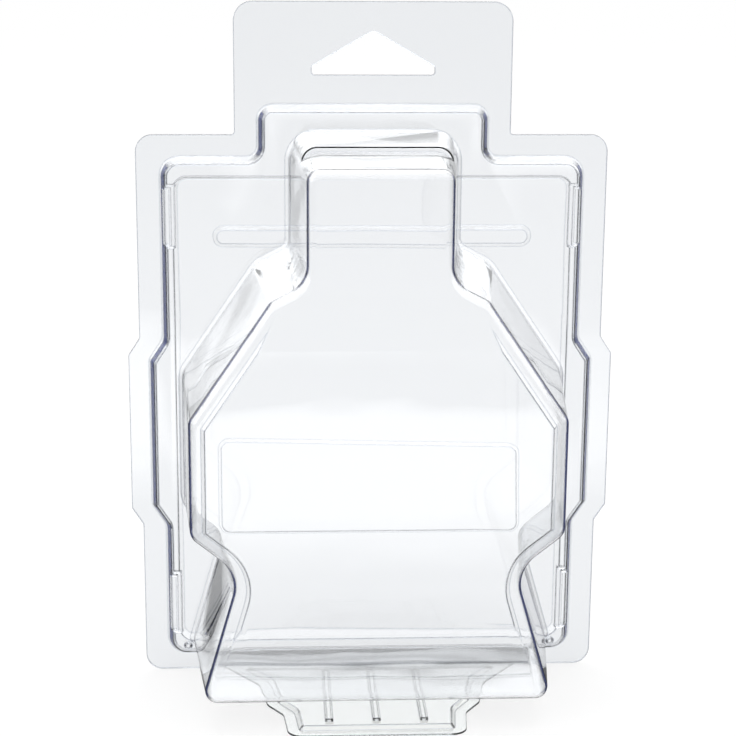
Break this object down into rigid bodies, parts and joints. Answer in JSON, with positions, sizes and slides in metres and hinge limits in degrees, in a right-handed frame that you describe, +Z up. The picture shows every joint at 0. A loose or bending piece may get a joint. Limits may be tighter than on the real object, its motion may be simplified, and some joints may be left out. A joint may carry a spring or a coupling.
{
  "type": "plastic clamshell pack",
  "caption": "Clear formed retail clamshell: bottle-shaped blister shell, hinged back lid, hang tab and a fold-out stand foot.",
  "frame": {"origin": "under the middle of the standing pack, on the surface that it stands on", "axes": "+Z up, the blister faces -Y, +X to the right seen from the front"},
  "size_m": [0.13, 0.046, 0.1838],
  "materials": {
    "clear_sheet": "clear polished PET sheet"
  },
  "bodies": {
    "shell": {"front_shell": "clear_sheet"},
    "lid": {"back_lid": "clear_sheet"},
    "foot": {"stand_foot": "clear_sheet"}
  },
  "joints": [
    {"name": "lid_hinge", "type": "hinge", "parent": "shell", "child": "lid", "pos_m": [-0.065, 0.02257, 0.0689], "axis": [0, 0, 1], "range_deg": [0, 180]},
    {"name": "foot_hinge", "type": "hinge", "parent": "shell", "child": "foot", "pos_m": [0, 0.02212, 0.00045], "axis": [1, 0, 0], "range_deg": [0, 90]}
  ]
}
